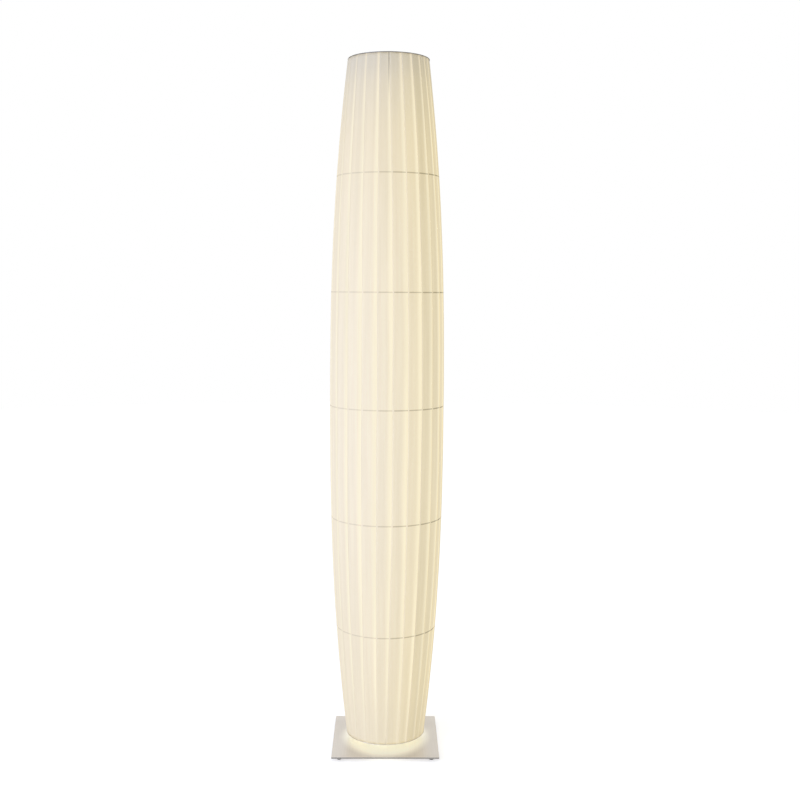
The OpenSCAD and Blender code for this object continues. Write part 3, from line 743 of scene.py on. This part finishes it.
class LAMP_OT_gear(bpy.types.Operator):
    """Finish the spine, brackets, holders, wiring and lamp tubes inside the shade"""

    bl_idname = "lamp.gear"
    bl_label = "Lamp gear"

    def execute(self, context):
        gear = context.scene.lamp_gear
        wear(["spine_flange", "spine_tube", "spine_cap"],
             coat_finish("white spine coat", gear.spine_coat, peel=700.0, roughness=0.4))
        wear(["junction_cover", "lower_bracket", "upper_bracket"],
             coat_finish("white enamel", gear.enamel, peel=1100.0, roughness=0.35))
        wear(["terminal_block", "holder_lower_left", "holder_lower_right", "holder_upper_left",
              "holder_upper_right"],
             coat_finish("white moulding", gear.plastic, peel=1600.0, roughness=0.5, depth=0.00002))
        wear(["wiring"],
             coat_finish("wire sheath", gear.sheath, peel=2400.0, roughness=0.55, depth=0.00002))
        wear(["lamp_caps_left", "lamp_caps_right"],
             metal_finish("drawn aluminium", gear.aluminium, CAP_GRAIN, roughness=0.28))
        wear(["lamp_tube_left", "lamp_tube_right"], tube_finish(gear))
        return {"FINISHED"}


# ---------- Stage ----------

WHITE = (1.0, 1.0, 1.0, 1.0)
# Width of the camera's sensor, in millimetres
SENSOR = 36.0
# The soft light on the left: its width and height, where it stands and what it is aimed at
KEY_WIDTH, KEY_HEIGHT = 1.8, 2.6
KEY_PLACE, KEY_AIM = (-2.5, -2.25, 1.1), (0, 0, 0.92)
# The round light inside the bottom of the shade, which shines down on the middle of the plate
POOL_WIDTH = 0.18
POOL_PLACE, POOL_AIM = (0, 0, 0.048), (0, 0, 0)
# The floor, and the light of its own with which it passes into the white around it
FLOOR_RADIUS, FLOOR_SIDES = 9.0, 96
FLOOR_GLOW = 0.46


def aimed(light, place, target, scene):
    """Stands a light at its place and turns it to its target"""
    made = bpy.data.objects.new(light.name, light)
    scene.collection.objects.link(made)
    made.matrix_world = Matrix.Translation(place) @ (
        Vector(target) - Vector(place)).to_track_quat("-Z", "Y").to_matrix().to_4x4()
    return made


class LAMP_OT_stage(bpy.types.Operator):
    """Lay the pale floor, set the soft lights and stand the camera where the picture was taken"""

    bl_idname = "lamp.stage"
    bl_label = "Stage"

    def execute(self, context):
        scene, stage = context.scene, context.scene.lamp_stage
        scene.view_settings.view_transform = "Standard"
        self.camera(scene, stage)
        self.world(scene, stage)
        self.floor(scene, stage)
        self.key(scene, stage)
        self.pool(scene, stage)
        return {"FINISHED"}

    @staticmethod
    def camera(scene, stage):
        """From a level look along +Y it turns to the right, then down, then about its own axis"""
        data = bpy.data.cameras.new("camera")
        data.lens, data.sensor_width, data.sensor_fit = stage.lens, SENSOR, "HORIZONTAL"
        made = bpy.data.objects.new("camera", data)
        scene.collection.objects.link(made)
        sin_yaw, cos_yaw = math.sin(stage.camera_yaw), math.cos(stage.camera_yaw)
        sin_pitch, cos_pitch = math.sin(stage.camera_pitch), math.cos(stage.camera_pitch)
        sin_roll, cos_roll = math.sin(stage.camera_roll), math.cos(stage.camera_roll)
        ahead = Vector((cos_pitch * sin_yaw, cos_pitch * cos_yaw, -sin_pitch))
        right = Vector((cos_yaw, -sin_yaw, 0))
        up = Vector((sin_pitch * sin_yaw, sin_pitch * cos_yaw, cos_pitch))
        across, high = cos_roll * right + sin_roll * up, -sin_roll * right + cos_roll * up
        turn = Matrix((across, high, -ahead)).transposed().to_4x4()
        made.matrix_world = Matrix.Translation(stage.camera_place) @ turn
        scene.camera = made

    @staticmethod
    def world(scene, stage):
        """Even light from all round, and plain white where it is looked at"""
        scene.world = bpy.data.worlds.new("studio")
        scene.world.use_nodes = True
        graph = Graph(scene.world.node_tree)
        graph.tree.nodes.clear()
        soft = graph.node("ShaderNodeBackground", {"Color": (*stage.sky, 1.0),
                                                   "Strength": stage.ambient})
        white = graph.node("ShaderNodeBackground", {"Color": WHITE})
        mix = graph.node("ShaderNodeMixShader", {0: graph.looked_at(), 1: soft.outputs[0],
                                                 2: white.outputs[0]})
        graph.node("ShaderNodeOutputWorld", {0: mix.outputs[0]})

    @staticmethod
    def floor(scene, stage):
        """A wide round floor"""
        shape = bmesh.new()
        bmesh.ops.create_circle(shape, cap_ends=True, segments=FLOOR_SIDES, radius=FLOOR_RADIUS)
        mesh = bpy.data.meshes.new("floor")
        shape.to_mesh(mesh)
        shape.free()
        floor = bpy.data.objects.new("floor", mesh)
        scene.collection.objects.link(floor)
        made = Finish("pale floor", stage.floor, Roughness=0.9)
        made.to("Emission Color", WHITE)
        made.to("Emission Strength", made.times(made.looked_at(), FLOOR_GLOW))
        mesh.materials.append(made.material)

    @staticmethod
    def key(scene, stage):
        """The soft light on the left"""
        light = bpy.data.lights.new("soft_left", "AREA")
        light.shape, light.size, light.size_y = "RECTANGLE", KEY_WIDTH, KEY_HEIGHT
        light.energy, light.color = stage.key_power, stage.key_colour
        aimed(light, KEY_PLACE, KEY_AIM, scene)

    @staticmethod
    def pool(scene, stage):
        """Stands for the lamps' own light that falls out of the shade onto the plate"""
        light = bpy.data.lights.new("pool", "AREA")
        light.shape, light.size = "DISK", POOL_WIDTH
        light.energy, light.color = stage.pool_power, stage.pool_colour
        made = aimed(light, POOL_PLACE, POOL_AIM, scene)
        made.visible_camera = made.visible_glossy = False


# ---------- Sidebar, registration and the run ----------

GROUPS = {"lamp_shade": ShadeSettings, "lamp_gear": GearSettings, "lamp_stage": StageSettings}
STEPS = (LAMP_OT_stage, LAMP_OT_base, LAMP_OT_gear, LAMP_OT_frame, LAMP_OT_ribbons)


class LAMP_PT_sidebar(bpy.types.Panel):
    """Lists the steps that build the lamp, and the settings"""

    bl_label = "Column floor lamp"
    bl_idname = "LAMP_PT_sidebar"
    bl_space_type = "VIEW_3D"
    bl_region_type = "UI"
    bl_category = "Lamp"

    def draw(self, context):
        for step in STEPS:
            self.layout.operator(step.bl_idname)
        for name, group in GROUPS.items():
            box = self.layout.box()
            for key in group.__annotations__:
                box.prop(getattr(context.scene, name), key)


CLASSES = (*GROUPS.values(), *STEPS, LAMP_PT_sidebar)


def register():
    for held in CLASSES:
        bpy.utils.register_class(held)
    for name, group in GROUPS.items():
        setattr(bpy.types.Scene, name, bpy.props.PointerProperty(type=group))


def unregister():
    for name in GROUPS:
        delattr(bpy.types.Scene, name)
    for held in reversed(CLASSES):
        bpy.utils.unregister_class(held)


def main():
    register()
    bpy.ops.lamp.stage()
    bpy.ops.lamp.base()
    bpy.ops.lamp.gear()
    bpy.ops.lamp.frame()
    bpy.ops.lamp.ribbons()


if __name__ == "__main__":
    main()
